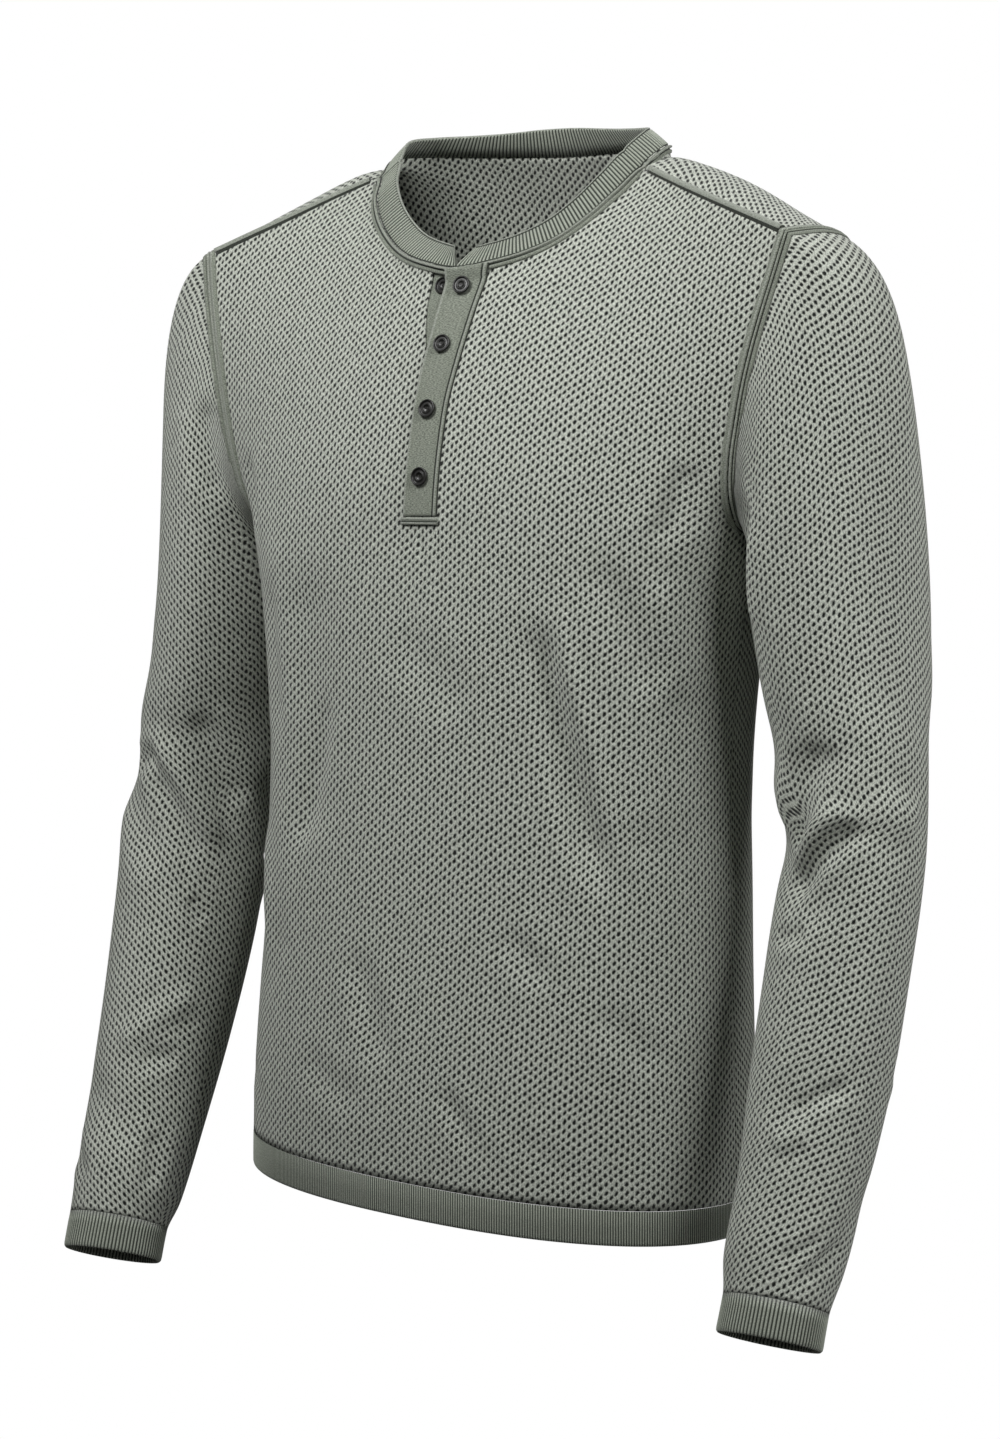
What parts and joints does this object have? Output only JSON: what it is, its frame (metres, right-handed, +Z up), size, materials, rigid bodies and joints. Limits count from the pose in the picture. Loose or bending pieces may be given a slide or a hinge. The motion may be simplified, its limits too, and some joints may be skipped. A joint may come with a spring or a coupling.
{
  "type": "henley shirt",
  "caption": "Long-sleeved henley shirt in open eyelet knit with rib neck band, buttoned placket, rib cuffs and rib hem, filled out as it is worn",
  "frame": {"origin": "where the shirt is held, on the mid-plane between the shoulders, level with the highest points of the neck seam", "axes": "+Z up; the front faces -Y; +X is the wearer's left side"},
  "size_m": [0.5767, 0.2348, 0.7284],
  "materials": {
    "mesh_knit": "open eyelet knit, dusty sage green, matt",
    "rib_knit": "fine upright rib, dusty sage green, matt",
    "plain_knit": "fine plain knit, dusty sage green, matt",
    "button": "polished dark charcoal with a softly mottled face"
  },
  "bodies": {
    "root": {"front": "mesh_knit", "back": "mesh_knit", "sleeve_left": "mesh_knit", "sleeve_right": "mesh_knit", "neck_band": "rib_knit", "cuff_left": "rib_knit", "cuff_right": "rib_knit", "hem_band": "rib_knit", "neck_tape": "plain_knit", "armhole_seam_left": "plain_knit", "armhole_seam_right": "plain_knit", "shoulder_seam_left": "plain_knit", "shoulder_seam_right": "plain_knit", "placket_over": "plain_knit", "placket_under": "plain_knit", "placket_end": "plain_knit", "button_1": "button", "button_2": "button", "button_3": "button", "button_4": "button", "button_under": "button"}
  },
  "joints": []
}
